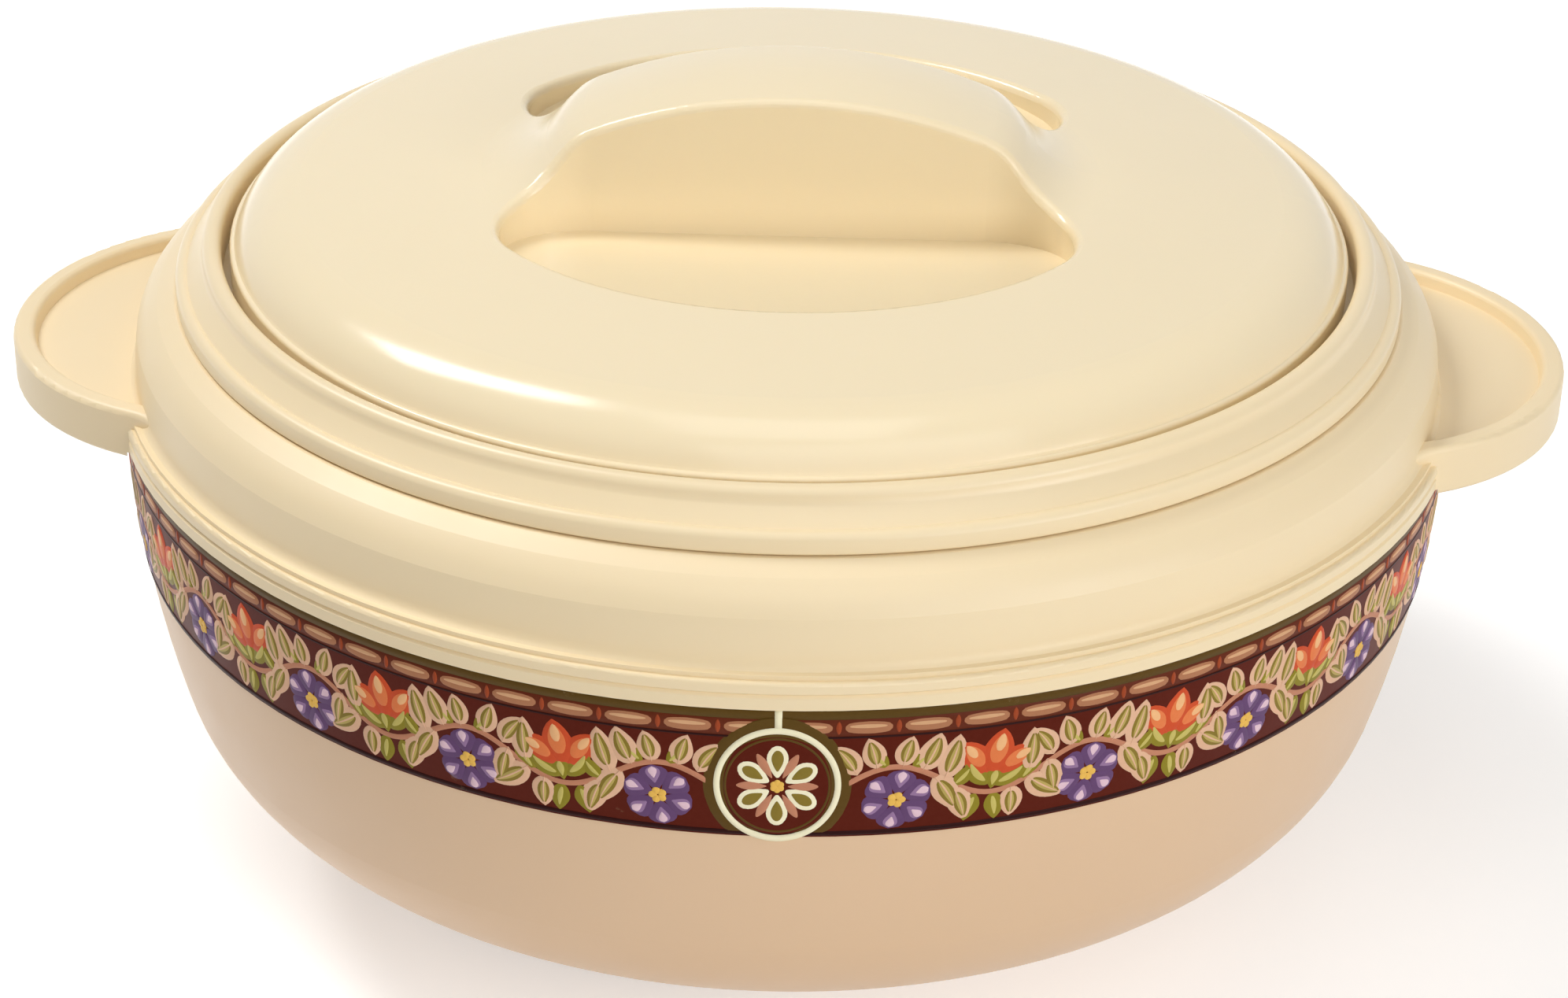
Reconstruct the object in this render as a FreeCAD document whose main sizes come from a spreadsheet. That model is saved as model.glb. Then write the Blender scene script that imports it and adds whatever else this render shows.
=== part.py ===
import FreeCAD, Part
import math
import os

import Sketcher

os.makedirs("parts", exist_ok=True)
doc = FreeCAD.newDocument("chapati_casserole")

# The casserole stands on the table at z = 0, on its own upright axis. The ears point along X and the
# long side of the lid's handle lies along X too. Lengths are millimetres and angles are degrees.
# Every height is measured from the table and every radius from the upright axis.
dimensions = {
    # outer bowl
    "bowl_radius": 130,         # outside, at the top of the printed band
    "band_top": 98,             # where the long side curve starts, upright
    "side_bend": 208,           # radius of the long side curve
    "side_lean": 15,            # lean of the side where that curve ends
    "heel_bend": 30.5,          # radius of the turn towards the foot
    "heel_lean": 55,            # lean of the straight run that ends at the foot
    "base_height": 1.5,         # underside of the base, inside the foot ring
    "foot_radius": 73,
    "foot_width": 5,
    "wall": 2.5,                # moulded plastic, everywhere
    "seat_height": 99.2,        # step that carries the collar
    "seat_width": 1.8,
    "bowl_rim": 104.2,          # top of the bowl's spigot, inside the collar
    "neck_height": 94,          # lower end of the spigot's inner face
    "neck_lean": 2,             # where the inner face meets the inner side curve
    "fill_radius": 10,          # hole in the base that the foam is poured through
    "cap_radius": 14,
    "cap_flange": 1,
    "band_height": 25.5,
    "band_skin": 0.3,
    # collar with the two ears
    "collar_radius": 131.2,
    "snap_gap": 0.1,            # radial clearance of parts that are pushed together
    "line_height": 101.9,       # fine groove round the collar's lip
    "line_depth": 0.5,
    "lip_top": 104.4,
    "lip_round": 0.6,
    "shelf_top": 105.3,         # narrow shelf above the lip, level with the ears' trays
    "shelf_radius": 130.1,
    "wall_foot": 127.9,         # upright wall, radius and height where it starts
    "wall_foot_height": 107.1,
    "wall_knee": 127.2,         # where the wall starts to turn inwards
    "wall_knee_height": 114.4,
    "brow_radius": 123,         # where that turn ends
    "brow_height": 120,
    "wall_bend": 60,
    "knee_bend": 9.5,
    "shelf_bend": 2,
    "collar_edge": 119.7,       # outer edge of the collar's flat top, and the rounding there
    "collar_edge_round": 0.8,
    "collar_top": 122,
    "collar_mouth": 106,
    "collar_floor": 118.4,      # underside of that top
    "ear_centre": 105.5,        # the ears are parts of a disc round this point on the X axis
    "ear_radius": 48,
    "ear_rim": 4,
    "ear_root": 11,             # fillet between an ear and the wall, in plan
    "ear_bottom": 98,
    "ear_top": 108,
    "ear_floor": 2.8,
    "ear_draft": 15,            # slope of the tray's side
    "ear_edge": 1.2,            # rounding above and below
    "ear_low_edge": 0.9,
    "lip_clearance": 0.4,       # between an ear's underside and the band
    # rim ring that clamps the steel bowl
    "ring_radius": 119.2,
    "ring_shadow": 0.2,         # open joint between ring and collar
    "ring_low_edge": 0.5,       # rounding of the ring's edge over that joint
    "ring_seat": 117.2,
    "tongue_outer": 116,
    "tongue_inner": 114,
    "tongue_depth": 2,
    "ring_wall_top": 124.9,     # where the bead round the ring's foot starts to turn in
    "ring_crease": 117,         # where it ends, at the foot of the slope
    "ring_crease_height": 126.1,
    "ring_foot_bend": 1.6,
    "ring_slope_end": 114.1,
    "ring_slope_height": 129.2,
    "ring_slope_bend": 30,
    "bead_radius": 1.8,         # rounded top edge that stands round the lid
    "bead_height": 132,
    "ring_mouth": 110.2,
    "ledge_mouth": 103.5,       # ledge that the lid's seal rests over
    "ledge_top": 124.4,
    # steel bowl
    "steel": 0.6,
    "flange_radius": 113,
    "flange_gap": 0.3,
    "mouth_radius": 102.5,
    "mouth_bend": 3,
    "steel_taper": 3.2,
    "steel_heel": 35,
    "steel_floor": 22,
    "foam_gap": 0.2,
    "foam_shoulder": 103,
    "foam_top_radius": 118,
    "foam_top": 118,
    # lid
    "lid_bottom": 125.4,
    "skirt_radius": 108.6,
    "skirt_top": 131.3,         # top of the narrow lip round the lid's edge
    "skirt_round": 0.9,
    "shoulder_radius": 107.4,   # where the shoulder comes down to that lip
    "shoulder_bend": 14.6,
    "crown_edge": 95.6,         # radius where the flat crown turns into the shoulder
    "crown_bend": 1000,
    "crown_height": 144.6,      # where the crown would meet the axis under the handle
    "mound_height": 163.4,
    "mound_top_bend": 104,
    "mound_top_radius": 40,
    "mound_brow_bend": 14,
    "mound_foot_bend": 18,
    "mound_foot_radius": 60,
    # two wells, in front of and behind the handle
    "grip_half": 15,            # half the handle's thickness
    "well_corner": 16,
    "well_radius": 64.8,
    "well_floor": 134.6,        # floor height at the handle
    "well_rise": 6,             # floor's rise from the handle to the outer end
    "well_edge": 1.6,
    "well_ceiling": 180,
    # inside of the lid
    "liner_radius": 106,
    "liner_top": 129.4,
    "liner_flange": 2,
    "plug_radius": 100,
    "plug_bottom": 115,
    "plug_bend": 4,
    "vent_radius": 8,
    "vent_cap_radius": 11,
    "lid_foam_top": 131.4,
    "seal_inner": 103.6,
    "seal_outer": 105.8,
    "seal_bottom": 124.75,
    "seal_top": 127.05,
}

sheet = doc.addObject("Spreadsheet::Sheet", "Sizes")
for row, (alias, number) in enumerate(dimensions.items(), start=1):
    sheet.set(f"A{row}", alias)
    sheet.set(f"B{row}", str(number))
    sheet.setAlias(f"B{row}", alias)
doc.recompute()


class Size:
    """A length or an angle: its value now, and the expression in the sheet's cells that it follows."""

    def __init__(self, value, text):
        self.value = float(value)
        self.text = text

    def __add__(self, other):
        return Size(self.value + other.value, f"({self.text} + {other.text})")

    def __sub__(self, other):
        return Size(self.value - other.value, f"({self.text} - {other.text})")

    def __mul__(self, other):
        return Size(self.value * other.value, f"{self.text} * {other.text}")

    def __truediv__(self, other):
        return Size(self.value / other.value, f"({self.text} / ({other.text}))")

    def __neg__(self):
        return Size(-self.value, f"(0 - {self.text})")


def fixed(number):
    return Size(number, str(number))


def sine(angle):
    return Size(math.sin(math.radians(angle.value)), f"sin({angle.text})")


def cosine(angle):
    return Size(math.cos(math.radians(angle.value)), f"cos({angle.text})")


def tangent(angle):
    return Size(math.tan(math.radians(angle.value)), f"tan({angle.text})")


def arc_sine(ratio):
    return Size(math.degrees(math.asin(ratio.value)), f"asin({ratio.text})")


def arc_cosine(ratio):
    return Size(math.degrees(math.acos(ratio.value)), f"acos({ratio.text})")


def arc_tangent(ratio):
    return Size(math.degrees(math.atan(ratio.value)), f"atan({ratio.text})")


def root(area):
    return Size(math.sqrt(area.value), f"sqrt({area.text})")


def square(length):
    return length * length


size = {alias: Size(number, f"Sizes.{alias}") for alias, number in dimensions.items()}
zero = fixed(0)
two = fixed(2)
half = fixed(0.5)
wall = size["wall"]


# ---- sketches and features ----

def new_body(name):
    body = doc.addObject("PartDesign::Body", name)
    body.Label = name
    return body


def new_sketch(body, name, plane, height=None):
    """A sketch on one of the body's own planes, lifted along the plane's normal by height."""
    sketch = body.newObject("Sketcher::SketchObject", f"{body.Name}_{name}")
    planes = {feature.Role: feature for feature in body.Origin.OriginFeatures}
    sketch.AttachmentSupport = [(planes[plane], "")]
    sketch.MapMode = "FlatFace"
    if height is not None:
        sketch.setExpression("AttachmentOffset.Base.z", height.text)
    return sketch


def arc_between(start, end, radius, turn):
    """The shorter arc from start to end, turning left where turn is 1 and right where it is -1."""
    chord = end - start
    reach = math.sqrt(max(radius ** 2 - (chord.Length / 2) ** 2, 0))
    across = FreeCAD.Vector(-chord.y, chord.x, 0).normalize() * (reach * turn)
    centre = (start + end) * 0.5 + across
    first, last = (start, end) if turn > 0 else (end, start)
    angles = [math.atan2(point.y - centre.y, point.x - centre.x) for point in (first, last)]
    if angles[1] < angles[0]:
        angles[1] += 2 * math.pi
    circle = Part.Circle(centre, FreeCAD.Vector(0, 0, 1), radius)
    return Part.ArcOfCircle(circle, angles[0], angles[1])


def fix_point(sketch, edge, end, point):
    """Ties one end of an edge to the sketch's origin or axes, by expressions."""
    across, up = point
    for kind, place, axis in (("DistanceX", across, -2), ("DistanceY", up, -1)):
        if abs(place.value) < 1e-9:
            sketch.addConstraint(Sketcher.Constraint("PointOnObject", edge, end, axis))
            continue
        if place.value > 0:
            tie = Sketcher.Constraint(kind, -1, 1, edge, end, place.value)
            text = place.text
        else:
            tie = Sketcher.Constraint(kind, edge, end, -1, 1, -place.value)
            text = (-place).text
        index = sketch.addConstraint(tie)
        sketch.setExpression(f"Constraints[{index}]", text)


def outline(sketch, corners, bends=None):
    """One closed outline through the corners. bends[i] = (radius, turn) makes the side that leaves
    corner i an arc, which turns left for 1 and right for -1."""
    bends = bends or {}
    first = sketch.GeometryCount
    points = [FreeCAD.Vector(across.value, up.value, 0) for across, up in corners]
    ends = []
    for i, start in enumerate(points):
        end = points[(i + 1) % len(points)]
        if i in bends:
            radius, turn = bends[i]
            sketch.addGeometry(arc_between(start, end, radius.value, turn), False)
            ends.append((1, 2) if turn > 0 else (2, 1))
        else:
            sketch.addGeometry(Part.LineSegment(start, end), False)
            ends.append((1, 2))
    for i, corner in enumerate(corners):
        before = (i - 1) % len(corners)
        tie = Sketcher.Constraint("Coincident", first + before, ends[before][1], first + i, ends[i][0])
        sketch.addConstraint(tie)
        fix_point(sketch, first + i, ends[i][0], corner)
        if i in bends:
            radius = bends[i][0]
            index = sketch.addConstraint(Sketcher.Constraint("Radius", first + i, radius.value))
            sketch.setExpression(f"Constraints[{index}]", radius.text)


def turned(body, name, corners, bends=None, cut=False):
    """A ring turned about the upright axis, added to the body or cut from it."""
    sketch = new_sketch(body, name, "XZ_Plane")
    outline(sketch, corners, bends)
    feature = body.newObject("PartDesign::Groove" if cut else "PartDesign::Revolution", f"{name}_turn")
    feature.Profile = sketch
    feature.ReferenceAxis = (sketch, ["V_Axis"])
    feature.Angle = 360
    doc.recompute()
    return feature


def raised(body, sketch, name, length):
    pad = body.newObject("PartDesign::Pad", f"{name}_pad")
    pad.Profile = sketch
    pad.setExpression("Length", length.text)
    doc.recompute()
    return pad


def sunk(body, sketch, name, length, upward=False):
    pocket = body.newObject("PartDesign::Pocket", f"{name}_pocket")
    pocket.Profile = sketch
    pocket.Reversed = upward
    pocket.setExpression("Length", length.text)
    return pocket


def rounded(body, name, radius, chosen):
    """Fillets the edges of the body's last feature that chosen picks."""
    base = body.Tip
    names = [f"Edge{i}" for i, edge in enumerate(base.Shape.Edges, start=1)
             if not edge.Degenerated and chosen(edge)]
    fillet = body.newObject("PartDesign::Fillet", f"{name}_fillet")
    fillet.Base = (base, names)
    fillet.setExpression("Radius", radius.text)
    doc.recompute()
    return fillet


def cut_away(body, name, tools):
    """Cuts other bodies from this one."""
    boolean = body.newObject("PartDesign::Boolean", f"{body.Name}_{name}")
    boolean.Type = "Cut"
    boolean.Group = tools
    body.Tip = boolean
    doc.recompute()
    return boolean


def ring_at(radius, height):
    """Picks the full circle about the upright axis with this radius and height."""
    def chosen(edge):
        if not isinstance(edge.Curve, Part.Circle):
            return False
        on_axis = math.hypot(edge.Curve.Center.x, edge.Curve.Center.y) < 1e-3
        same_radius = abs(edge.Curve.Radius - radius.value) < 0.01
        return on_axis and same_radius and abs(edge.Curve.Center.z - height.value) < 0.01
    return chosen


# ---- outer bowl, its printed band and the cap in its base ----

side_centre = (size["bowl_radius"] - size["side_bend"], size["band_top"])


def on_side(skin, angle):
    """A point skin inside the long side curve, where the side leans by angle."""
    reach = size["side_bend"] - skin
    return (side_centre[0] + reach * cosine(angle), side_centre[1] - reach * sine(angle))


heel_start = on_side(zero, size["side_lean"])
heel_centre = (heel_start[0] - size["heel_bend"] * cosine(size["side_lean"]),
               heel_start[1] + size["heel_bend"] * sine(size["side_lean"]))


def on_heel(skin, angle):
    """A point skin inside the turn above the foot, where the side leans by angle."""
    reach = size["heel_bend"] - skin
    return (heel_centre[0] + reach * cosine(angle), heel_centre[1] - reach * sine(angle))


def below_heel(skin, height):
    """The radius of the straight run above the foot at this height, skin inside the outer face."""
    start = on_heel(skin, size["heel_lean"])
    return start[0] - (start[1] - height) * tangent(size["heel_lean"])


def make_outer_bowl():
    body = new_body("outer_bowl")
    spigot = size["bowl_radius"] - size["seat_width"]
    floor = size["base_height"] + wall
    corners = [
        (size["fill_radius"], size["base_height"]),
        (size["foot_radius"] - size["foot_width"], size["base_height"]),
        (size["foot_radius"] - size["foot_width"], zero),
        (size["foot_radius"], zero),
        (below_heel(zero, size["base_height"]), size["base_height"]),
        on_heel(zero, size["heel_lean"]),
        heel_start,
        (size["bowl_radius"], size["band_top"]),
        (size["bowl_radius"], size["seat_height"]),
        (spigot, size["seat_height"]),
        (spigot, size["bowl_rim"]),
        (spigot - wall, size["bowl_rim"]),
        (spigot - wall, size["neck_height"]),
        on_side(wall, size["neck_lean"]),
        on_side(wall, size["side_lean"]),
        on_heel(wall, size["heel_lean"]),
        (below_heel(wall, floor), floor),
        (size["fill_radius"], floor),
    ]
    bends = {
        5: (size["heel_bend"], 1),
        6: (size["side_bend"], 1),
        13: (size["side_bend"] - wall, -1),
        14: (size["heel_bend"] - wall, -1),
    }
    turned(body, "bowl", corners, bends)
    return body


def make_printed_band():
    body = new_body("printed_band")
    lowest = arc_sine(size["band_height"] / size["side_bend"])
    skin = size["band_skin"]
    corners = [
        (size["bowl_radius"], size["band_top"]),
        on_side(zero, lowest),
        on_side(-skin, lowest),
        (size["bowl_radius"] + skin, size["band_top"]),
    ]
    bends = {0: (size["side_bend"], -1), 2: (size["side_bend"] + skin, 1)}
    turned(body, "band", corners, bends)
    return body


def make_base_cap():
    body = new_body("base_cap")
    stem = size["fill_radius"] - size["snap_gap"]
    low = size["base_height"] - size["cap_flange"]
    high = size["base_height"] + wall - size["snap_gap"]
    corners = [
        (zero, low),
        (size["cap_radius"], low),
        (size["cap_radius"], size["base_height"]),
        (stem, size["base_height"]),
        (stem, high),
        (zero, high),
    ]
    turned(body, "cap", corners)
    return body


# ---- collar with ears ----

def crossing(centre, radius, about):
    """Where a circle round (centre, 0) meets the circle of radius about round the upright axis."""
    across = (square(about) + square(centre) - square(radius)) / (two * centre)
    return (across, root(square(about) - square(across)))


def make_ear_collar():
    body = new_body("ear_collar")
    lip_inner = size["bowl_radius"] - size["seat_width"] + size["snap_gap"]
    groove = size["line_depth"]
    turned(body, "lip", [
        (lip_inner, size["seat_height"]),
        (size["collar_radius"], size["seat_height"]),
        (size["collar_radius"], size["line_height"] - groove),
        (size["collar_radius"] - groove, size["line_height"]),
        (size["collar_radius"], size["line_height"] + groove),
        (size["collar_radius"], size["lip_top"] - size["lip_round"]),
        (size["collar_radius"] - size["lip_round"], size["lip_top"]),
        (size["shelf_radius"], size["lip_top"]),
        (size["shelf_radius"], size["shelf_top"]),
        (lip_inner, size["shelf_top"]),
    ], {5: (size["lip_round"], 1)})

    # The ears: a disc in plan, with concave roots that run into the wall just inside its face.
    centre = size["ear_centre"]
    about = size["wall_foot"] - size["line_depth"]
    root_centre = crossing(centre, size["ear_radius"] + size["ear_root"], about + size["ear_root"])
    toward_disc = size["ear_radius"] / (size["ear_radius"] + size["ear_root"])
    toward_wall = about / (about + size["ear_root"])
    disc_end = (centre + (root_centre[0] - centre) * toward_disc, root_centre[1] * toward_disc)
    wall_end = (root_centre[0] * toward_wall, root_centre[1] * toward_wall)
    plan = new_sketch(body, "ear_plan", "XY_Plane", size["ear_bottom"])
    trays = new_sketch(body, "tray_plan", "XY_Plane", size["ear_top"])
    hollows = new_sketch(body, "hollow_plan", "XY_Plane", size["ear_bottom"])
    tray_radius = size["ear_radius"] - size["ear_rim"]
    hollow_about = size["collar_radius"] + wall
    hollow_end = crossing(centre, tray_radius, hollow_about)
    tray_end = root(square(tray_radius) - square(size["collar_mouth"] - centre))
    for side in (1, -1):
        def place(across, up):
            return (across if side > 0 else -across, up)
        outline(plan, [
            place(wall_end[0], -wall_end[1]),
            place(disc_end[0], -disc_end[1]),
            place(disc_end[0], disc_end[1]),
            place(wall_end[0], wall_end[1]),
        ], {0: (size["ear_root"], -side), 1: (size["ear_radius"], side), 2: (size["ear_root"], -side)})
        outline(trays, [
            place(size["collar_mouth"], -tray_end),
            place(size["collar_mouth"], tray_end),
        ], {0: (tray_radius, side)})
        outline(hollows, [
            place(hollow_end[0], -hollow_end[1]),
            place(hollow_end[0], hollow_end[1]),
        ], {0: (tray_radius, side), 1: (hollow_about, -side)})
    raised(body, plan, "ear", size["ear_top"] - size["ear_bottom"])
    tray = sunk(body, trays, "tray", size["ear_top"] - size["shelf_top"])
    tray.setExpression("TaperAngle", (-size["ear_draft"]).text)
    doc.recompute()
    hollow_depth = size["shelf_top"] - size["ear_floor"] - size["ear_bottom"]
    sunk(body, hollows, "hollow", hollow_depth, upward=True)
    doc.recompute()

    def rim_edges(height):
        """Picks the curved edges of the ears at this height, save those of the hollows underneath."""
        def chosen(edge):
            if not isinstance(edge.Curve, Part.Circle) or abs(edge.Curve.Center.x) < 1:
                return False
            level = all(abs(vertex.Z - height.value) < 0.01 for vertex in edge.Vertexes)
            inside = abs(edge.Curve.Radius - tray_radius.value) < 0.01
            return level and not (inside and height is size["ear_bottom"])
        return chosen
    rounded(body, "ear_top", size["ear_edge"], rim_edges(size["ear_top"]))
    rounded(body, "ear_low", size["ear_low_edge"], rim_edges(size["ear_bottom"]))

    # Room for the bowl's rim and the band, then the wall that turns in to the mouth.
    clear = size["collar_radius"] + size["lip_clearance"]
    inner = size["wall_foot"] - wall
    turned(body, "room", [
        (zero, size["ear_bottom"] - wall),
        (clear, size["ear_bottom"] - wall),
        (clear, size["seat_height"]),
        (lip_inner, size["seat_height"]),
        (lip_inner, size["lip_top"]),
        (inner, size["lip_top"]),
        (inner, size["ear_top"] + wall),
        (zero, size["ear_top"] + wall),
    ], cut=True)
    slot_outer = size["tongue_outer"] + size["snap_gap"]
    slot_inner = size["tongue_inner"] - size["snap_gap"]
    slot_floor = size["collar_top"] - size["tongue_depth"] - size["snap_gap"]
    knee = (size["wall_knee"], size["wall_knee_height"])
    brow = (size["brow_radius"], size["brow_height"])
    turned(body, "wall", [
        (inner, size["lip_top"]),
        (size["wall_foot"] + size["shelf_bend"] * half, size["lip_top"]),
        (size["wall_foot"] + size["shelf_bend"] * half, size["shelf_top"]),
        (size["wall_foot"], size["wall_foot_height"]),
        knee,
        brow,
        (size["collar_edge"], size["collar_top"]),
        (slot_outer, size["collar_top"]),
        (slot_outer, slot_floor),
        (slot_inner, slot_floor),
        (slot_inner, size["collar_top"]),
        (size["collar_mouth"], size["collar_top"]),
        (size["collar_mouth"], size["collar_floor"]),
        (size["brow_radius"] - wall, size["collar_floor"]),
        (size["wall_knee"] - wall, size["wall_knee_height"]),
        (inner, size["wall_foot_height"]),
    ], {
        2: (size["shelf_bend"], -1),
        3: (size["wall_bend"], 1),
        4: (size["knee_bend"], 1),
        13: (size["knee_bend"] - wall, -1),
        14: (size["wall_bend"] - wall, -1),
    })
    rounded(body, "collar_edge", size["collar_edge_round"],
            ring_at(size["collar_edge"], size["collar_top"]))
    return body


# ---- rim ring ----

def make_rim_ring():
    body = new_body("rim_ring")
    clamp = size["collar_top"] + size["steel"]
    bead = size["bead_radius"]
    bead_centre = (size["ring_mouth"] + bead, size["bead_height"] - bead)
    flange_room = size["flange_radius"] + size["flange_gap"]
    ring_low = size["collar_top"] + size["ring_shadow"]
    corners = [
        (size["ring_radius"], ring_low),
        (size["ring_radius"], size["ring_wall_top"]),
        (size["ring_crease"], size["ring_crease_height"]),
        (size["ring_slope_end"], size["ring_slope_height"]),
        (bead_centre[0] + bead, bead_centre[1]),
        (bead_centre[0], size["bead_height"]),
        (size["ring_mouth"], bead_centre[1]),
        (size["ring_mouth"], size["ledge_top"]),
        (size["ledge_mouth"], size["ledge_top"]),
        (size["ledge_mouth"], clamp),
        (flange_room, clamp),
        (flange_room, size["collar_top"]),
        (size["tongue_inner"], size["collar_top"]),
        (size["tongue_inner"], size["collar_top"] - size["tongue_depth"]),
        (size["tongue_outer"], size["collar_top"] - size["tongue_depth"]),
        (size["tongue_outer"], size["collar_top"]),
        (size["ring_seat"], size["collar_top"]),
        (size["ring_seat"], ring_low),
    ]
    bends = {
        1: (size["ring_foot_bend"], 1),
        2: (size["ring_slope_bend"], -1),
        4: (bead, 1),
        5: (bead, 1),
    }
    turned(body, "ring", corners, bends)
    rounded(body, "ring_low", size["ring_low_edge"], ring_at(size["ring_radius"], ring_low))
    return body


# ---- steel bowl and the foam round it ----

def steel_side(skin):
    """The steel bowl's section, skin outside its inner face, from the flange down to the axis."""
    taper = size["steel_taper"]
    mouth = size["mouth_bend"]
    lip_centre = (size["mouth_radius"] + mouth, size["collar_top"] + size["steel"] - mouth)
    reach = mouth - skin
    lip_end = (lip_centre[0] - reach * cosine(taper), lip_centre[1] + reach * sine(taper))
    heel_height = size["steel_floor"] + size["steel_heel"]
    heel = size["steel_heel"] + skin
    heel_top = heel_height - size["steel_heel"] * sine(taper)
    inner_end = (lip_centre[0] - mouth * cosine(taper), lip_centre[1] + mouth * sine(taper))
    inner_foot = inner_end[0] - (inner_end[1] - heel_top) * tangent(taper)
    centre = inner_foot - size["steel_heel"] * cosine(taper)
    heel_start_point = (centre + heel * cosine(taper), heel_height - heel * sine(taper))
    return {
        "flange": size["collar_top"] + size["steel"] - skin,
        "lip_start": (lip_centre[0], lip_centre[1] + reach),
        "lip_end": lip_end,
        "heel_start": heel_start_point,
        "heel_end": (centre, size["steel_floor"] - skin),
        "lip_bend": reach,
        "heel_bend": heel,
    }


def make_steel_bowl():
    body = new_body("steel_bowl")
    inside = steel_side(zero)
    outside = steel_side(size["steel"])
    corners = [
        (zero, outside["heel_end"][1]),
        outside["heel_end"],
        outside["heel_start"],
        outside["lip_end"],
        outside["lip_start"],
        (size["flange_radius"], outside["flange"]),
        (size["flange_radius"], inside["flange"]),
        inside["lip_start"],
        inside["lip_end"],
        inside["heel_start"],
        inside["heel_end"],
        (zero, inside["heel_end"][1]),
    ]
    bends = {
        1: (outside["heel_bend"], 1),
        3: (outside["lip_bend"], -1),
        7: (inside["lip_bend"], 1),
        9: (inside["heel_bend"], -1),
    }
    turned(body, "steel", corners, bends)
    return body


def make_body_foam():
    body = new_body("body_foam")
    skin = wall + size["foam_gap"]
    steel = steel_side(size["steel"] + size["foam_gap"])
    neck = size["bowl_radius"] - size["seat_width"] - skin
    floor = size["base_height"] + wall
    mouth = steel["lip_end"][0] - (steel["lip_end"][1] - size["foam_top"]) * tangent(size["steel_taper"])
    corners = [
        (zero, floor),
        (below_heel(skin, floor), floor),
        on_heel(skin, size["heel_lean"]),
        on_heel(skin, size["side_lean"]),
        on_side(skin, size["neck_lean"]),
        (neck, size["neck_height"]),
        (neck, size["foam_shoulder"]),
        (size["foam_top_radius"], size["foam_top"]),
        (mouth, size["foam_top"]),
        steel["heel_start"],
        steel["heel_end"],
        (zero, steel["heel_end"][1]),
    ]
    bends = {
        2: (size["heel_bend"] - skin, 1),
        3: (size["side_bend"] - skin, 1),
        9: (steel["heel_bend"], -1),
    }
    turned(body, "foam", corners, bends)
    return body


# ---- lid ----

def shoulder(skin):
    """The lid's shoulder, skin inside its outer face: its ends at the lip and at the crown, where it
    runs on smoothly, and its radius."""
    lean = arc_sine(size["crown_edge"] / size["crown_bend"])
    reach = size["crown_bend"] - size["shoulder_bend"]
    across = reach * sine(lean)
    up = size["crown_height"] - size["crown_bend"] + reach * cosine(lean)
    steep = arc_sine((size["shoulder_radius"] - across) / size["shoulder_bend"])
    bend = size["shoulder_bend"] - skin
    ends = [(across + bend * sine(turn), up + bend * cosine(turn)) for turn in (steep, lean)]
    return ends, bend


def mound(skin):
    """The bell-shaped mound on the crown, skin inside its outer face, from its foot up to the axis."""
    foot_lean = arc_sine(size["mound_foot_radius"] / size["crown_bend"])
    foot_height = size["crown_height"] - size["crown_bend"] * (fixed(1) - cosine(foot_lean))
    foot_centre = (size["mound_foot_radius"] + size["mound_foot_bend"] * sine(foot_lean),
                   foot_height + size["mound_foot_bend"] * cosine(foot_lean))
    top_centre = size["mound_height"] - size["mound_top_bend"]
    top_lean = arc_sine(size["mound_top_radius"] / size["mound_top_bend"])
    brow_reach = size["mound_top_bend"] - size["mound_brow_bend"]
    brow_centre = (brow_reach * sine(top_lean), top_centre + brow_reach * cosine(top_lean))
    across = foot_centre[0] - brow_centre[0]
    up = foot_centre[1] - brow_centre[1]
    reach = (size["mound_brow_bend"] + size["mound_foot_bend"]) / root(square(across) + square(up))
    steep = arc_tangent(across / up) - arc_cosine(reach)
    foot = size["mound_foot_bend"] + skin
    brow = size["mound_brow_bend"] - skin
    top = size["mound_top_bend"] - skin
    corners = [
        (foot_centre[0] - foot * sine(foot_lean), foot_centre[1] - foot * cosine(foot_lean)),
        (foot_centre[0] - foot * sine(steep), foot_centre[1] - foot * cosine(steep)),
        (brow_centre[0] + brow * sine(steep), brow_centre[1] + brow * cosine(steep)),
        (top * sine(top_lean), top_centre + top * cosine(top_lean)),
        (zero, size["mound_height"] - skin),
    ]
    return corners, (foot, brow, top)


def lid_solid(name, skin, rim, rim_bends=None):
    """The lid's outer form, or with a skin the space inside it; rim is the section below the shoulder."""
    body = new_body(name)
    shoulder_ends, shoulder_bend = shoulder(skin)
    mound_corners, (foot, brow, top) = mound(skin)
    corners = rim + shoulder_ends + mound_corners
    last = len(corners) - 1
    bends = {
        len(rim): (shoulder_bend, 1),
        len(rim) + 1: (size["crown_bend"] - skin, 1),
        last - 4: (foot, -1),
        last - 2: (brow, 1),
        last - 1: (top, 1),
    }
    bends.update(rim_bends or {})
    turned(body, name, corners, bends)
    return body


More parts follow.
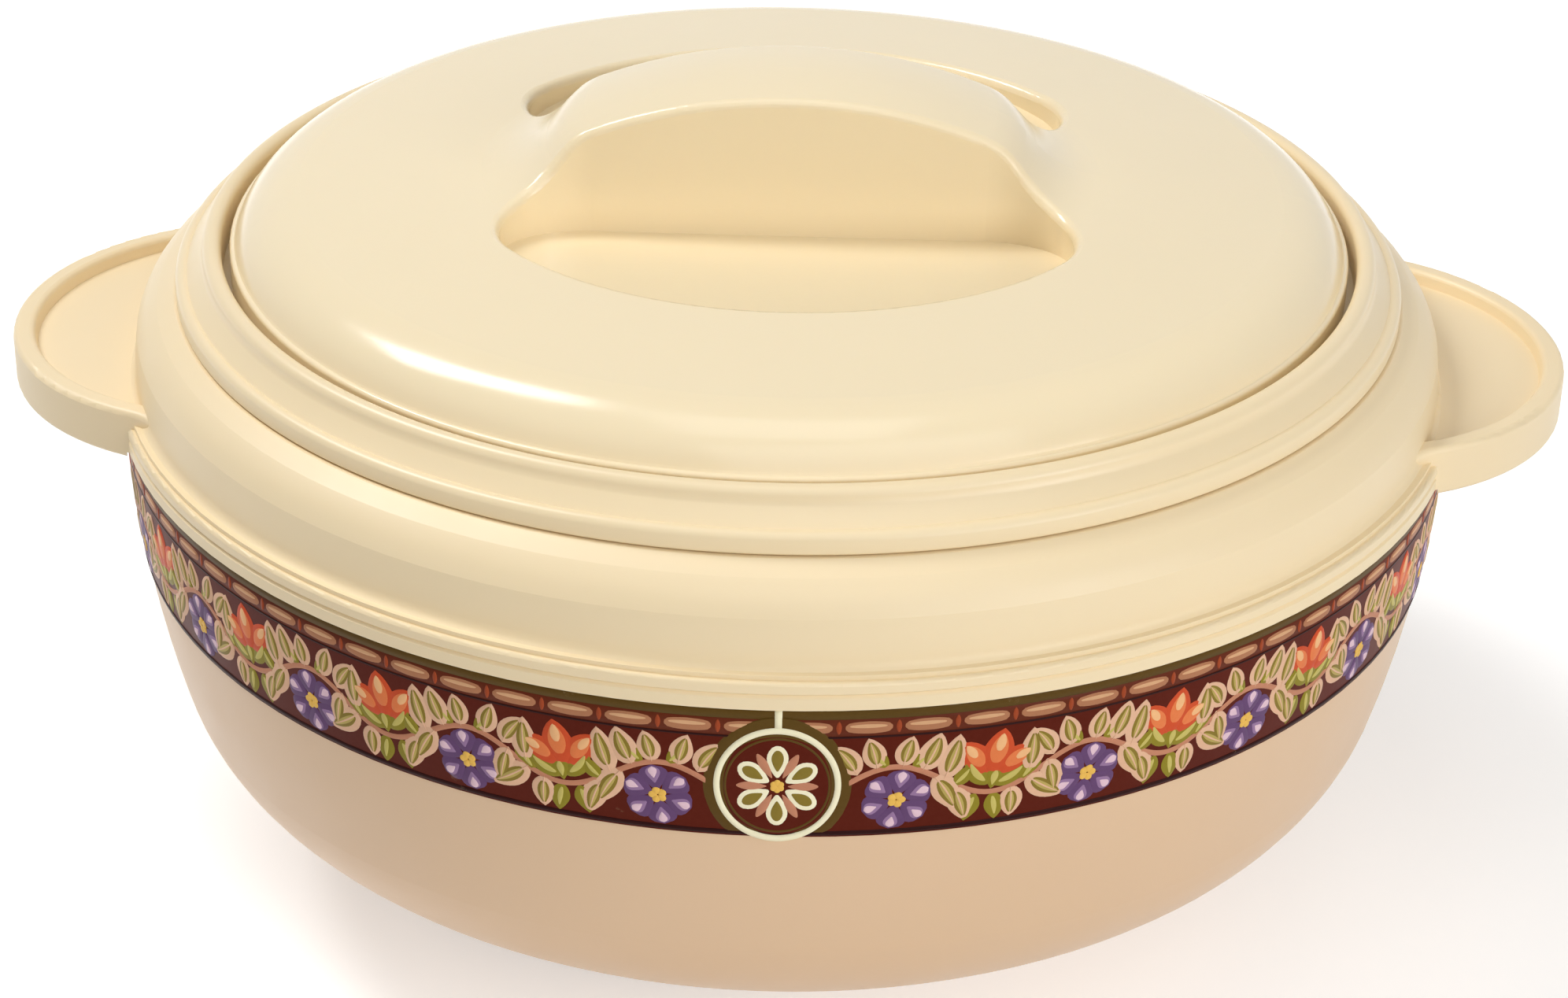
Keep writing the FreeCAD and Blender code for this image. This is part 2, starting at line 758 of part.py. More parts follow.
def finger_well(name, side, grow):
    """The space in front of (side -1) or behind (side 1) the handle, larger by grow all round: D-shaped
    in plan, its straight side along the handle, with a flat floor that rises away from the handle."""
    body = new_body(name)
    face = size["grip_half"] - grow
    corner = size["well_corner"] + grow
    reach = size["well_radius"] + grow
    corner_depth = size["grip_half"] + size["well_corner"]
    corner_reach = size["well_radius"] - size["well_corner"]
    corner_across = root(square(corner_reach) - square(corner_depth))
    outward = reach / corner_reach
    floor = size["well_floor"] - grow
    slope = size["well_rise"] / (size["well_radius"] - size["grip_half"])
    lowest = floor - size["well_rise"]

    def along(depth):
        return depth if side > 0 else -depth

    plan = new_sketch(body, "plan", "XY_Plane", lowest)
    outline(plan, [
        (-corner_across, along(face)),
        (corner_across, along(face)),
        (corner_across * outward, along(corner_depth * outward)),
        (-(corner_across * outward), along(corner_depth * outward)),
    ], {1: (corner, side), 2: (reach, side), 3: (corner, side)})
    raised(body, plan, name, size["well_ceiling"] - lowest)

    near = face - wall
    far = reach + wall
    under = new_sketch(body, "under", "YZ_Plane")
    outline(under, [
        (along(near), lowest - wall),
        (along(far), lowest - wall),
        (along(far), floor + (far - size["grip_half"]) * slope),
        (along(near), floor + (near - size["grip_half"]) * slope),
    ])
    wedge = sunk(body, under, "under", far * two)
    wedge.Midplane = True
    doc.recompute()
    return body


def well_rim(edge):
    """Picks the upper edges of the wells' walls, where they meet the mound and the crown."""
    slope = dimensions["well_rise"] / (dimensions["well_radius"] - dimensions["grip_half"])
    corner_reach = dimensions["well_radius"] - dimensions["well_corner"]
    corner_depth = dimensions["grip_half"] + dimensions["well_corner"]
    corner_across = math.sqrt(corner_reach ** 2 - corner_depth ** 2)
    points = [edge.valueAt(edge.FirstParameter + (edge.LastParameter - edge.FirstParameter) * share)
              for share in (0, 0.5, 1)]
    for point in points:
        depth = abs(point.y)
        above = point.z - dimensions["well_floor"] - (depth - dimensions["grip_half"]) * slope
        from_corner = math.hypot(abs(point.x) - corner_across, depth - corner_depth)
        gaps = (depth - dimensions["grip_half"],
                from_corner - dimensions["well_corner"],
                math.hypot(point.x, point.y) - dimensions["well_radius"])
        if above < 1 or min(abs(gap) for gap in gaps) > 0.01:
            return False
    return True


def make_lid_shell():
    form = lid_solid("lid_shell", zero, [
        (zero, size["lid_bottom"]),
        (size["skirt_radius"], size["lid_bottom"]),
        (size["skirt_radius"], size["skirt_top"] - size["skirt_round"]),
        (size["skirt_radius"] - size["skirt_round"], size["skirt_top"]),
    ], {2: (size["skirt_round"], 1)})
    wells = [finger_well(f"well_{name}", side, zero) for name, side in (("front", -1), ("back", 1))]
    cut_away(form, "wells", wells)
    rounded(form, "well", size["well_edge"], well_rim)

    skirt_inner = size["skirt_radius"] - wall
    space = lid_solid("lid_space", wall, [
        (zero, size["lid_bottom"] - wall),
        (skirt_inner, size["lid_bottom"] - wall),
        (skirt_inner, size["liner_top"] + size["snap_gap"]),
    ])
    skins = [finger_well(f"skin_{name}", side, wall) for name, side in (("front", -1), ("back", 1))]
    cut_away(space, "skins", skins)
    cut_away(form, "space", [space])
    return form


def make_lid_liner():
    body = new_body("lid_liner")
    flange_low = size["liner_top"] - size["liner_flange"]
    sheet_inner = size["plug_radius"] - size["liner_flange"]
    bend = size["plug_bend"]
    corners = [
        (size["vent_radius"], size["plug_bottom"]),
        (size["plug_radius"] - bend, size["plug_bottom"]),
        (size["plug_radius"], size["plug_bottom"] + bend),
        (size["plug_radius"], flange_low),
        (size["liner_radius"], flange_low),
        (size["liner_radius"], size["liner_top"]),
        (sheet_inner, size["liner_top"]),
        (sheet_inner, size["plug_bottom"] + bend),
        (size["plug_radius"] - bend, size["plug_bottom"] + size["liner_flange"]),
        (size["vent_radius"], size["plug_bottom"] + size["liner_flange"]),
    ]
    bends = {1: (bend, 1), 7: (bend - size["liner_flange"], -1)}
    turned(body, "liner", corners, bends)
    return body


def make_lid_foam():
    body = new_body("lid_foam")
    edge = size["plug_radius"] - size["liner_flange"] - size["foam_gap"]
    low = size["plug_bottom"] + size["liner_flange"]
    bend = size["plug_bend"]
    turned(body, "foam", [
        (zero, low),
        (edge - bend, low),
        (edge, low + bend),
        (edge, size["lid_foam_top"]),
        (zero, size["lid_foam_top"]),
    ], {1: (bend, 1)})
    return body


def make_lid_plug():
    body = new_body("lid_plug")
    stem = size["vent_radius"] - size["snap_gap"]
    low = size["plug_bottom"] - size["cap_flange"]
    high = size["plug_bottom"] + size["liner_flange"] - size["snap_gap"]
    turned(body, "plug", [
        (zero, low),
        (size["vent_cap_radius"], low),
        (size["vent_cap_radius"], size["plug_bottom"]),
        (stem, size["plug_bottom"]),
        (stem, high),
        (zero, high),
    ])
    return body


def make_lid_seal():
    body = new_body("lid_seal")
    turned(body, "seal", [
        (size["seal_inner"], size["seal_bottom"]),
        (size["seal_outer"], size["seal_bottom"]),
        (size["seal_outer"], size["seal_top"]),
        (size["seal_inner"], size["seal_top"]),
    ])
    return body


parts = [
    make_outer_bowl(),
    make_printed_band(),
    make_base_cap(),
    make_ear_collar(),
    make_rim_ring(),
    make_steel_bowl(),
    make_body_foam(),
    make_lid_seal(),
    make_lid_shell(),
    make_lid_liner(),
    make_lid_foam(),
    make_lid_plug(),
]
doc.recompute()

# ---- checks, then one STEP file for each sub-part ----

for item in doc.Objects:
    if {"Invalid", "Error"} & set(item.State):
        raise RuntimeError(f"{item.Label} did not recompute: {item.State}")
for part in parts:
    if part.Shape.isNull() or not part.Shape.isValid() or len(part.Shape.Solids) != 1:
        raise RuntimeError(f"{part.Label} is not one valid solid")
for part in parts:
    part.Shape.exportStep(f"parts/{part.Label}.step")
    box = part.Shape.BoundBox
    print(f"{part.Label}: {part.Shape.Volume / 1000:.1f} ml, x {box.XMin:.2f} {box.XMax:.2f}, "
          f"y {box.YMin:.2f} {box.YMax:.2f}, z {box.ZMin:.2f} {box.ZMax:.2f}")
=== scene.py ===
import math

import bmesh
import bpy
import numpy as np
from mathutils import Matrix, Vector


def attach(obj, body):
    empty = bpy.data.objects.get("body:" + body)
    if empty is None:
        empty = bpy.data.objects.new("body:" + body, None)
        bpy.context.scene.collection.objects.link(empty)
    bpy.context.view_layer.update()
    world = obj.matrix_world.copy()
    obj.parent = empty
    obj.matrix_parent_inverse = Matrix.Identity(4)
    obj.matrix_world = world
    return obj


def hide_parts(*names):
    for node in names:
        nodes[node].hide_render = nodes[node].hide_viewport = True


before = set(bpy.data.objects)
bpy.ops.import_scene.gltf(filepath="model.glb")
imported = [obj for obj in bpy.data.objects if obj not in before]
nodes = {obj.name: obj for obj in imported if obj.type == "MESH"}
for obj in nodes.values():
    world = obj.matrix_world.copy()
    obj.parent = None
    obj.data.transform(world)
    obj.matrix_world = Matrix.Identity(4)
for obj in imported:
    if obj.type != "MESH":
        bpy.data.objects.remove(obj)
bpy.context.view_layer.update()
print("frame loaded")

mm = 0.001
white = (1, 1, 1, 1)


def screenColour(red, green, blue):
    # A colour in screen levels, 0 to 255, turned into linear light. A level c of 0 to 1 is divided
    # by 12.92 below 0.04045, and else becomes ((c + 0.055) / 1.055) to the power 2.4.
    c = np.array([red, green, blue]) / 255
    linear = np.where(c < 0.04045, c / 12.92, ((c + 0.055) / 1.055) ** 2.4)
    return tuple(float(value) for value in linear)


camera = {
    "distance": 637.9 * mm,      # from the upright axis, on the ground plan
    "height": 408.9 * mm,
    "swing": 1.0,                # degrees towards the right ear
    "pitch": 28.007,             # degrees below level
    "roll": 1.169,
    "focalPixels": 4500,
    "imageWidth": 1992,
    "sensorWidth": 36,           # in millimetres, which is what Blender's lens lengths go by
    "clip": (0.01, 20),
}


def makeCamera(spec):
    pitch, roll, swing = (math.radians(spec[key]) for key in ("pitch", "roll", "swing"))
    forward = Vector((0, math.cos(pitch), -math.sin(pitch)))
    right = Vector((1, 0, 0))
    up = right.cross(forward)
    rolledRight = right * math.cos(roll) + up * math.sin(roll)
    rolledUp = up * math.cos(roll) - right * math.sin(roll)
    turn = Matrix((rolledRight, rolledUp, -forward)).transposed().to_4x4()
    place = Matrix.Translation((0, -spec["distance"], spec["height"]))
    data = bpy.data.cameras.new("camera")
    data.sensor_width = spec["sensorWidth"]
    data.lens = spec["focalPixels"] / spec["imageWidth"] * spec["sensorWidth"]
    data.clip_start, data.clip_end = spec["clip"]
    view = bpy.data.objects.new("camera", data)
    view.matrix_world = Matrix.Rotation(swing, 4, "Z") @ place @ turn
    bpy.context.scene.collection.objects.link(view)
    bpy.context.scene.camera = view


makeCamera(camera)
bpy.context.scene.view_settings.view_transform = "Standard"
print("camera placed")


def newMaterial(name):
    material = bpy.data.materials.new(name)
    material.use_nodes = True
    tree = material.node_tree
    return material, tree, tree.nodes["Principled BSDF"]


def addNode(tree, kind, **values):
    node = tree.nodes.new(kind)
    for key, value in values.items():
        setattr(node, key, value)
    return node


def connect(tree, source, target):
    # A socket is linked and a number is set.
    if isinstance(source, bpy.types.NodeSocket):
        tree.links.new(source, target)
    else:
        target.default_value = source


def mathNode(tree, operation, first, second=0.0):
    node = addNode(tree, "ShaderNodeMath", operation=operation)
    connect(tree, first, node.inputs[0])
    connect(tree, second, node.inputs[1])
    return node.outputs[0]


def objectPlace(tree, stretch=None, turn=(0, 0, 0)):
    # The place in the piece's own space. A stretch scales it, and turn is in degrees.
    place = addNode(tree, "ShaderNodeTexCoord").outputs["Object"]
    if stretch is None:
        return place
    mapping = addNode(tree, "ShaderNodeMapping")
    mapping.inputs["Scale"].default_value = stretch
    mapping.inputs["Rotation"].default_value = tuple(math.radians(angle) for angle in turn)
    tree.links.new(place, mapping.inputs["Vector"])
    return mapping.outputs["Vector"]


def noise(tree, place, scale, detail=2.0, roughness=0.5):
    # scale is in waves to the metre
    node = addNode(tree, "ShaderNodeTexNoise")
    node.inputs["Scale"].default_value = scale
    node.inputs["Detail"].default_value = detail
    node.inputs["Roughness"].default_value = roughness
    tree.links.new(place, node.inputs["Vector"])
    return node.outputs["Fac"]


def spread(tree, source, fromRange, toRange, smooth=False):
    node = addNode(tree, "ShaderNodeMapRange")
    node.interpolation_type = "SMOOTHSTEP" if smooth else "LINEAR"
    for name, value in zip(("From Min", "From Max", "To Min", "To Max"), (*fromRange, *toRange)):
        node.inputs[name].default_value = value
    tree.links.new(source, node.inputs["Value"])
    return node.outputs["Result"]


def blendColour(tree, share, first, second):
    node = addNode(tree, "ShaderNodeMix", data_type="RGBA")
    for colour, socket in ((first, "A"), (second, "B")):
        if not isinstance(colour, bpy.types.NodeSocket):
            colour = (*colour, 1)
        connect(tree, colour, node.inputs[socket])
    connect(tree, share, node.inputs["Factor"])
    return node.outputs["Result"]


def shaded(colour, factor, extra=0.0):
    # The colour times the factor, and no lighter than white
    return tuple(np.minimum(np.array(colour) * factor + extra, 1))


def bumps(tree, shader, layers):
    # layers: (height, depth in metres), the coarsest first, each standing on the one before.
    normal = None
    for height, depth in layers:
        node = addNode(tree, "ShaderNodeBump")
        node.inputs["Distance"].default_value = depth
        tree.links.new(height, node.inputs["Height"])
        if normal is not None:
            tree.links.new(normal, node.inputs["Normal"])
        normal = node.outputs["Normal"]
    tree.links.new(normal, shader.inputs["Normal"])


def softLight(shader, weight, radius):
    # light that enters the skin and comes out again up to radius away
    shader.inputs["Subsurface Weight"].default_value = weight
    shader.inputs["Subsurface Radius"].default_value = radius
    shader.inputs["Subsurface Scale"].default_value = 1.0


studio = {
    "floorSide": 3.0,            # from the middle to an edge
    "floorColour": (0.88, 0.87, 0.86),
    "floorRoughness": 0.9,
    "floorGloss": 0.1,
    "floorGlow": 0.45,           # by the object; it rises to 1, which is white, further out
    "glowReach": (0.25, 0.75),   # metres from the upright axis between which it rises
    "worldColour": (1.0, 0.985, 0.95),
    "worldStrength": 0.10,
    "lamps": {
        # power in watts, width, height, turn round the object from its front towards its right ear,
        # angle above level, distance
        "keyLamp": (6.3, 1.50, 1.00, 20, 42, 1.60),
        "frontLamp": (5.8, 1.00, 0.60, 36, 14, 1.55),
        "rightLamp": (2.2, 0.45, 0.45, 54, 15, 1.35),
        "topLamp": (2.6, 0.70, 0.70, 0, 80, 1.35),
        "sideLamp": (10.5, 0.34, 0.62, -109, 56, 1.35),
        "leftGlint": (0.3, 0.12, 0.30, -57, 14, 1.35),
    },
    "aim": 0.1,                  # height of the point that the lamps face, on the upright axis
}


def makeFloor(spec):
    side = spec["floorSide"]
    corners = [(-side, -side, 0), (side, -side, 0), (side, side, 0), (-side, side, 0)]
    mesh = bpy.data.meshes.new("floor")
    mesh.from_pydata(corners, [], [(0, 1, 2, 3)])
    floor = bpy.data.objects.new("floor", mesh)
    bpy.context.scene.collection.objects.link(floor)
    material, tree, shader = newMaterial("floorPaper")
    shader.inputs["Base Color"].default_value = (*spec["floorColour"], 1)
    shader.inputs["Roughness"].default_value = spec["floorRoughness"]
    shader.inputs["Specular IOR Level"].default_value = spec["floorGloss"]
    glow = addNode(tree, "ShaderNodeEmission")
    glow.inputs["Color"].default_value = white
    away = addNode(tree, "ShaderNodeVectorMath", operation="LENGTH")
    tree.links.new(objectPlace(tree), away.inputs[0])
    level = spread(tree, away.outputs["Value"], spec["glowReach"], (spec["floorGlow"], 1.0), True)
    tree.links.new(mathNode(tree, "MULTIPLY", whiteRays(tree), level), glow.inputs["Strength"])
    both = addNode(tree, "ShaderNodeAddShader")
    tree.links.new(shader.outputs[0], both.inputs[0])
    tree.links.new(glow.outputs[0], both.inputs[1])
    tree.links.new(both.outputs[0], tree.nodes["Material Output"].inputs["Surface"])
    mesh.materials.append(material)


def whiteRays(tree):
    # 1 for rays that come straight from the camera, or by way of metal, gloss or glass
    path = addNode(tree, "ShaderNodeLightPath")
    seen = mathNode(tree, "MAXIMUM", path.outputs["Is Camera Ray"], path.outputs["Is Glossy Ray"])
    return mathNode(tree, "MAXIMUM", seen, path.outputs["Is Transmission Ray"])


def makeLamp(name, power, width, height, turn, rise, distance):
    data = bpy.data.lights.new(name, "AREA")
    data.energy = power
    data.shape = "RECTANGLE"
    data.size = width
    data.size_y = height
    lamp = bpy.data.objects.new(name, data)
    turn, rise = math.radians(turn), math.radians(rise)
    away = Vector((math.cos(rise) * math.sin(turn), -math.cos(rise) * math.cos(turn),
                   math.sin(rise)))
    place = Matrix.Translation(away * distance + Vector((0, 0, studio["aim"])))
    lamp.matrix_world = place @ (-away).to_track_quat("-Z", "Y").to_matrix().to_4x4()
    bpy.context.scene.collection.objects.link(lamp)


def makeWorld(spec):
    world = bpy.data.worlds.new("studio")
    bpy.context.scene.world = world
    world.use_nodes = True
    tree = world.node_tree
    dim = tree.nodes["Background"]
    dim.inputs["Color"].default_value = (*spec["worldColour"], 1)
    dim.inputs["Strength"].default_value = spec["worldStrength"]
    bright = addNode(tree, "ShaderNodeBackground")
    bright.inputs["Color"].default_value = white
    mix = addNode(tree, "ShaderNodeMixShader")
    tree.links.new(whiteRays(tree), mix.inputs["Fac"])
    tree.links.new(dim.outputs[0], mix.inputs[1])
    tree.links.new(bright.outputs[0], mix.inputs[2])
    tree.links.new(mix.outputs[0], tree.nodes["World Output"].inputs["Surface"])


makeFloor(studio)
for lampName, lampSpec in studio["lamps"].items():
    makeLamp(lampName, *lampSpec)
makeWorld(studio)
print("floor and light made")

plastics = {
    # colour, roughness, share by which the colour drifts, how much rougher a scratch is
    "creamPlastic": ((0.920, 0.772, 0.512), 0.17, 0.012, 0.03),
    "rimPlastic": ((0.890, 0.730, 0.470), 0.33, 0.012, 0.02),
    "collarPlastic": ((0.900, 0.735, 0.474), 0.42, 0.012, 0.02),
    "bowlPlastic": ((0.765, 0.535, 0.336), 0.34, 0.014, 0.03),
    "capPlastic": ((0.700, 0.520, 0.330), 0.42, 0.02, 0.05),
}

plasticSkin = {
    # a noise is its scale, detail and roughness; a range is what part of it counts, from 0 to 1
    "driftNoise": (26, 3),
    "scuffHeight": 2.5 * mm,     # scuffs end this far up from the table
    "scuffNoise": (240, 6, 0.7),
    "scuffRange": (0.42, 0.62),
    "scuffMost": 0.5,
    "scuffShade": 0.55,          # of the plastic's colour
    "scuffDull": 0.3,            # on top of the roughness
    "scratchStretch": (40, 1500, 90),
    "scratchTurn": (0, 0, 24),
    "scratchNoise": (1.0, 2),
    "scratchRange": (0.6, 0.7),
    "patchNoise": (14, 2),       # where the scratches are
    "patchRange": (0.45, 0.7),
    "rubNoise": (70, 5),
    "rubRange": (0.3, 0.7),
    "rubGloss": (-0.03, 0.04),   # on top of the roughness
    "waves": ((48, 1), 0.00003),     # noise, depth
    "peel": ((560, 2), 0.000006),
    "ior": 1.49,
    "softWeight": 0.05,
    "softRadius": (0.003, 0.002, 0.001),
}


def mouldedPlastic(name, colour, roughness, drift, scratchDull):
    # The colour drifts a little over centimetres. The gloss varies with faint rub marks and fine
    # scratches, and the foot is scuffed. The skin has an orange peel of about 2 mm.
    skin = plasticSkin
    material, tree, shader = newMaterial(name)
    place = objectPlace(tree)
    base = blendColour(tree, noise(tree, place, *skin["driftNoise"]),
                       shaded(colour, 1 - drift), shaded(colour, 1 + drift))

    # scuffs on what touches the table
    height = addNode(tree, "ShaderNodeSeparateXYZ")
    tree.links.new(place, height.inputs[0])
    low = spread(tree, height.outputs["Z"], (0.0, skin["scuffHeight"]), (1.0, 0.0), True)
    scuffs = spread(tree, noise(tree, place, *skin["scuffNoise"]), skin["scuffRange"],
                    (0.0, skin["scuffMost"]))
    dirt = mathNode(tree, "MULTIPLY", low, scuffs)
    tree.links.new(blendColour(tree, dirt, base, shaded(colour, skin["scuffShade"])),
                   shader.inputs["Base Color"])

    # fine scratches from wiping: thin streaks, in patches
    stretched = objectPlace(tree, skin["scratchStretch"], skin["scratchTurn"])
    streaks = spread(tree, noise(tree, stretched, *skin["scratchNoise"]), skin["scratchRange"],
                     (0.0, 1.0))
    patchy = spread(tree, noise(tree, place, *skin["patchNoise"]), skin["patchRange"], (0.0, 1.0))
    scratch = mathNode(tree, "MULTIPLY", streaks, patchy)
    rub = spread(tree, noise(tree, place, *skin["rubNoise"]), skin["rubRange"],
                 [roughness + change for change in skin["rubGloss"]])
    worn = mathNode(tree, "ADD", rub, mathNode(tree, "MULTIPLY", scratch, scratchDull))
    dull = mathNode(tree, "MULTIPLY", dirt, skin["scuffDull"])
    tree.links.new(mathNode(tree, "ADD", worn, dull), shader.inputs["Roughness"])

    bumps(tree, shader, [(noise(tree, place, *skin[layer][0]), skin[layer][1])
                         for layer in ("waves", "peel")])
    shader.inputs["IOR"].default_value = skin["ior"]
    softLight(shader, skin["softWeight"], skin["softRadius"])
    return material


materials = {name: mouldedPlastic(name, *spec) for name, spec in plastics.items()}


def dress(node, material):
    data = nodes[node].data
    data.materials.clear()
    data.materials.append(material)


dress("ear_collar", materials["collarPlastic"])
for node in ("lid_shell", "lid_liner"):
    dress(node, materials["creamPlastic"])
dress("outer_bowl", materials["bowlPlastic"])
for node in ("base_cap", "lid_plug"):
    dress(node, materials["capPlastic"])
print("plastic dressed")

steel = {
    "colour": (0.72, 0.70, 0.67),
    "smudgeShade": 0.94,         # of the colour
    "smudgeNoise": (22, 4),
    "smudgeRange": (0.5, 0.75),
    "smudgeDull": 0.04,          # on top of the roughness
    "roughness": 0.19,
    "ringGloss": 0.04,           # more or less than the roughness, from ring to ring
    "ringScale": 4200.0,         # waves to the metre, outwards and upwards
    "ringNoise": (1.0, 3, 0.6),
    "ringRange": (0.3, 0.7),
    "ringDepth": 0.000003,
    "dentNoise": (30, 1),
    "dentDepth": 0.00003,
    "anisotropy": 0.55,
}


def spunSteel(spec):
    # Fine rings from spinning and polishing: noise on the distance from the axis and on the height,
    # both stretched so that it runs round the bowl; a few rub marks from spoons on top.
    material, tree, shader = newMaterial("spunSteel")
    place = objectPlace(tree)
    split = addNode(tree, "ShaderNodeSeparateXYZ")
    tree.links.new(place, split.inputs[0])
    x, y, z = (split.outputs[axis] for axis in "XYZ")
    xSquare, ySquare = (mathNode(tree, "POWER", axis, 2.0) for axis in (x, y))
    radius = mathNode(tree, "SQRT", mathNode(tree, "ADD", xSquare, ySquare))
    turn = mathNode(tree, "ARCTAN2", y, x)
    rings = addNode(tree, "ShaderNodeCombineXYZ")
    tree.links.new(mathNode(tree, "MULTIPLY", radius, spec["ringScale"]), rings.inputs["X"])
    tree.links.new(mathNode(tree, "MULTIPLY", z, spec["ringScale"]), rings.inputs["Y"])
    tree.links.new(mathNode(tree, "COSINE", turn), rings.inputs["Z"])
    brushed = noise(tree, rings.outputs[0], *spec["ringNoise"])
    smudge = noise(tree, place, *spec["smudgeNoise"])
    tint = blendColour(tree, smudge, shaded(spec["colour"], spec["smudgeShade"]), spec["colour"])
    tree.links.new(tint, shader.inputs["Base Color"])
    shader.inputs["Metallic"].default_value = 1.0
    gloss = spread(tree, brushed, spec["ringRange"],
                   (spec["roughness"] - spec["ringGloss"], spec["roughness"] + spec["ringGloss"]))
    dull = spread(tree, smudge, spec["smudgeRange"], (0.0, spec["smudgeDull"]))
    tree.links.new(mathNode(tree, "ADD", gloss, dull), shader.inputs["Roughness"])
    shader.inputs["Anisotropic"].default_value = spec["anisotropy"]
    around = addNode(tree, "ShaderNodeTangent", direction_type="RADIAL", axis="Z")
    tree.links.new(around.outputs[0], shader.inputs["Tangent"])
    bumps(tree, shader, [(noise(tree, place, *spec["dentNoise"]), spec["dentDepth"]),
                         (brushed, spec["ringDepth"])])
    return material


foam = {
    "colour": (0.86, 0.74, 0.46),
    "blisterShade": 0.82,        # of the colour
    "blisterNoise": (90, 3),
    "blisterDepth": 0.0005,
    "cellScale": 1300,           # cells to the metre
    "cellDepth": 0.0002,
    "roughness": 0.95,
    "gloss": 0.2,
}


def pouredFoam(spec):
    # cells of under a millimetre, with larger blisters here and there
    material, tree, shader = newMaterial("pouredFoam")
    place = objectPlace(tree)
    cells = addNode(tree, "ShaderNodeTexVoronoi")
    cells.inputs["Scale"].default_value = spec["cellScale"]
    tree.links.new(place, cells.inputs["Vector"])
    blister = noise(tree, place, *spec["blisterNoise"])
    tint = blendColour(tree, blister, shaded(spec["colour"], spec["blisterShade"]), spec["colour"])
    tree.links.new(tint, shader.inputs["Base Color"])
    shader.inputs["Roughness"].default_value = spec["roughness"]
    shader.inputs["Specular IOR Level"].default_value = spec["gloss"]
    bumps(tree, shader, [(blister, spec["blisterDepth"]),
                         (cells.outputs["Distance"], spec["cellDepth"])])
    return material


seal = {
    # darker than the rubber's own colour: painted shade for the gap round the lid, where the seal
    # shows
    "colour": (0.34, 0.29, 0.22),
    "dustShade": 1.2,            # of the colour
    "dustNoise": (180, 5, 0.65),
    "dustRange": (0.45, 0.7),
    "dustMost": 0.35,
    "fingerNoise": (60, 3),
    "fingerRange": (0.3, 0.7),
    "roughness": (0.42, 0.56),
    "grain": ((900, 2), 0.00001),    # noise, depth
    "softWeight": 0.2,
    "softRadius": (0.002, 0.002, 0.002),
}


def sealRubber(spec):
    # soft silicone: slightly see-through, with dust and finger marks on its gloss. Its colour is
    # darker than the rubber's own, as painted shade for the gap round the lid where it shows
    material, tree, shader = newMaterial("sealSilicone")
    place = objectPlace(tree)
    dust = spread(tree, noise(tree, place, *spec["dustNoise"]), spec["dustRange"],
                  (0.0, spec["dustMost"]))
    tint = blendColour(tree, dust, spec["colour"], shaded(spec["colour"], spec["dustShade"]))
    tree.links.new(tint, shader.inputs["Base Color"])
    marks = noise(tree, place, *spec["fingerNoise"])
    tree.links.new(spread(tree, marks, spec["fingerRange"], spec["roughness"]),
                   shader.inputs["Roughness"])
    softLight(shader, spec["softWeight"], spec["softRadius"])
    grain, depth = spec["grain"]
    bumps(tree, shader, [(noise(tree, place, *grain), depth)])
    return material


dress("steel_bowl", spunSteel(steel))
foamMaterial = pouredFoam(foam)
dress("body_foam", foamMaterial)
dress("lid_foam", foamMaterial)
dress("lid_seal", sealRubber(seal))
print("inside dressed")

inks = {
    "fieldInk": screenColour(88, 24, 6),
    "oliveInk": screenColour(92, 68, 24),
    "darkInk": screenColour(44, 10, 8),
    "borderInk": screenColour(100, 42, 22),
    "barInk": screenColour(178, 122, 88),
    "barLightInk": screenColour(218, 170, 128),
    "jointInk": screenColour(160, 72, 40),
    "vineInk": screenColour(196, 134, 104),
    "leafEdgeInk": screenColour(228, 184, 152),
    "leafHeartInk": screenColour(138, 118, 48),
    "leafLightInk": screenColour(188, 166, 94),
    "greenInk": screenColour(142, 130, 40),
    "greenLightInk": screenColour(200, 186, 104),
    "violetInk": screenColour(102, 72, 112),
    "mauveInk": screenColour(152, 120, 158),
    "lilacInk": screenColour(230, 198, 210),
    "budInk": screenColour(208, 82, 46),
    "budMiddleInk": screenColour(230, 128, 76),
    "budLightInk": screenColour(244, 188, 134),
    "eyeInk": screenColour(238, 190, 92),
    "creamInk": screenColour(255, 243, 208),
}

inkSkin = {
    "densityNoise": (45, 2),
    "density": (0.90, 1.08),     # factors on the ink's colour
    "grainNoise": (1100, 2),
    "grainRange": (0.35, 0.65),
    "grainMost": 0.12,
    "grainPale": (1.25, 0.01),   # factor on the ink's colour, and what is added to it
    "rubNoise": (130, 6, 0.7),
    "rubRange": (0.68, 0.76),
    "rubMost": 0.18,
    "rubColour": screenColour(214, 186, 150),
    "rubDull": 0.8,              # on top of the roughness, times the rub
    "glossNoise": (80, 4),
    "glossRange": (0.3, 0.7),
    "roughness": (0.32, 0.42),
    "waves": ((60, 1), 0.00003),     # noise, depth
    "dots": ((1500, 2), 0.000004),
    "gloss": 0.07,               # low, so that the dark inks stay dark under a white sky
}


